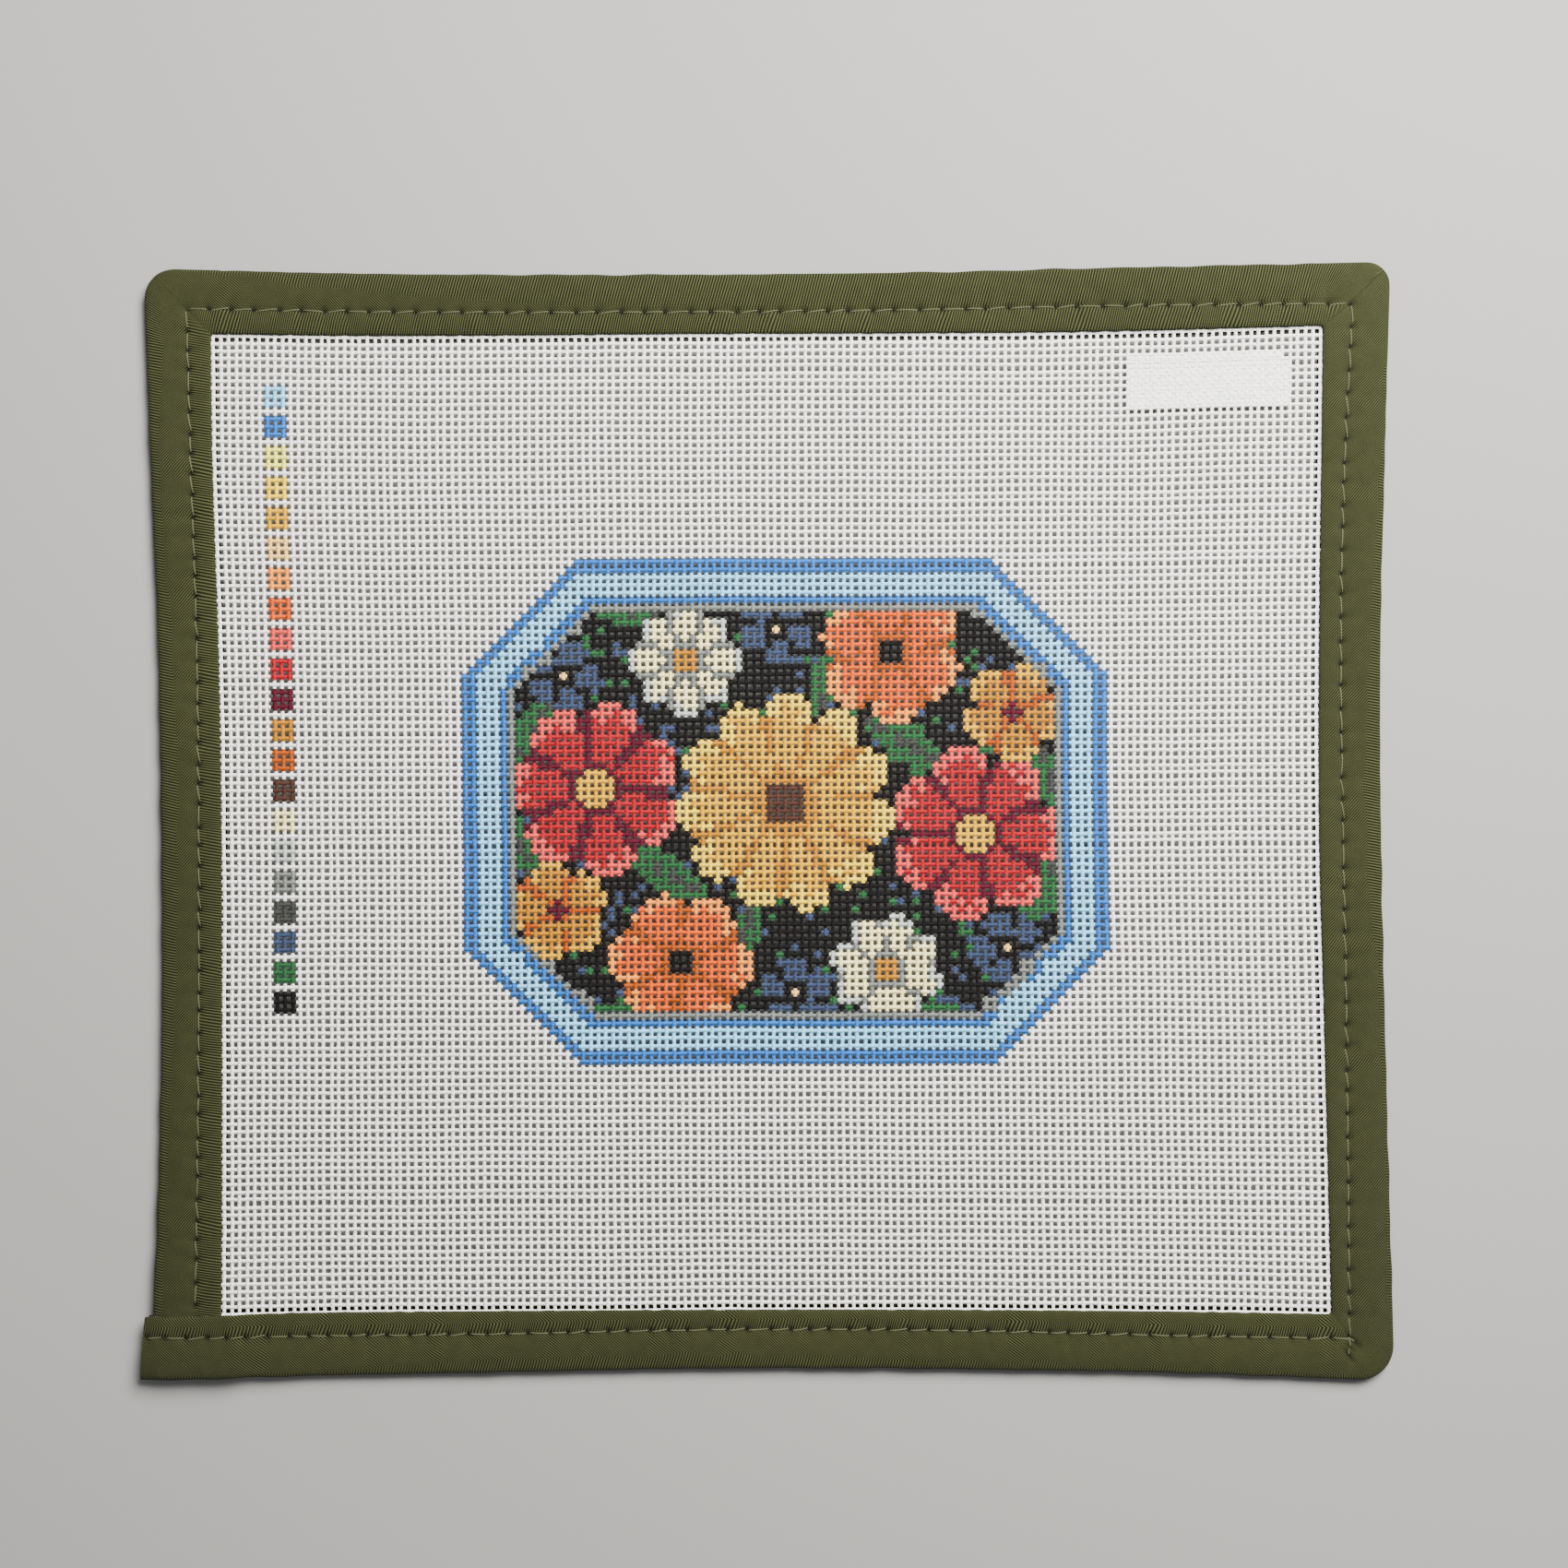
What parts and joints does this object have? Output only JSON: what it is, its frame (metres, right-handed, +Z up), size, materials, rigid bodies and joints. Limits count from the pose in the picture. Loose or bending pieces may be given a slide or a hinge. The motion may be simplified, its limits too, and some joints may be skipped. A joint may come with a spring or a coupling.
{
  "type": "needlepoint canvas panel",
  "caption": "Rectangular panel of open square-mesh needlepoint canvas, its edges bound in folded twill tape, with a painted design to stitch over.",
  "frame": {"origin": "on the surface the panel lies on, under the middle of its outer box", "axes": "+X to the panel's right and +Y to its top, seen from above with the painted side up; +Z up out of the painted side"},
  "size_m": [0.2337, 0.2087, 0.0045],
  "materials": {
    "canvas": "white starched cotton canvas, an even open square mesh, painted in places",
    "binding_tape": "olive green cotton twill tape, folded over the edge and lockstitched"
  },
  "bodies": {
    "root": {"canvas": "canvas", "binding_tape": "binding_tape"}
  },
  "joints": []
}
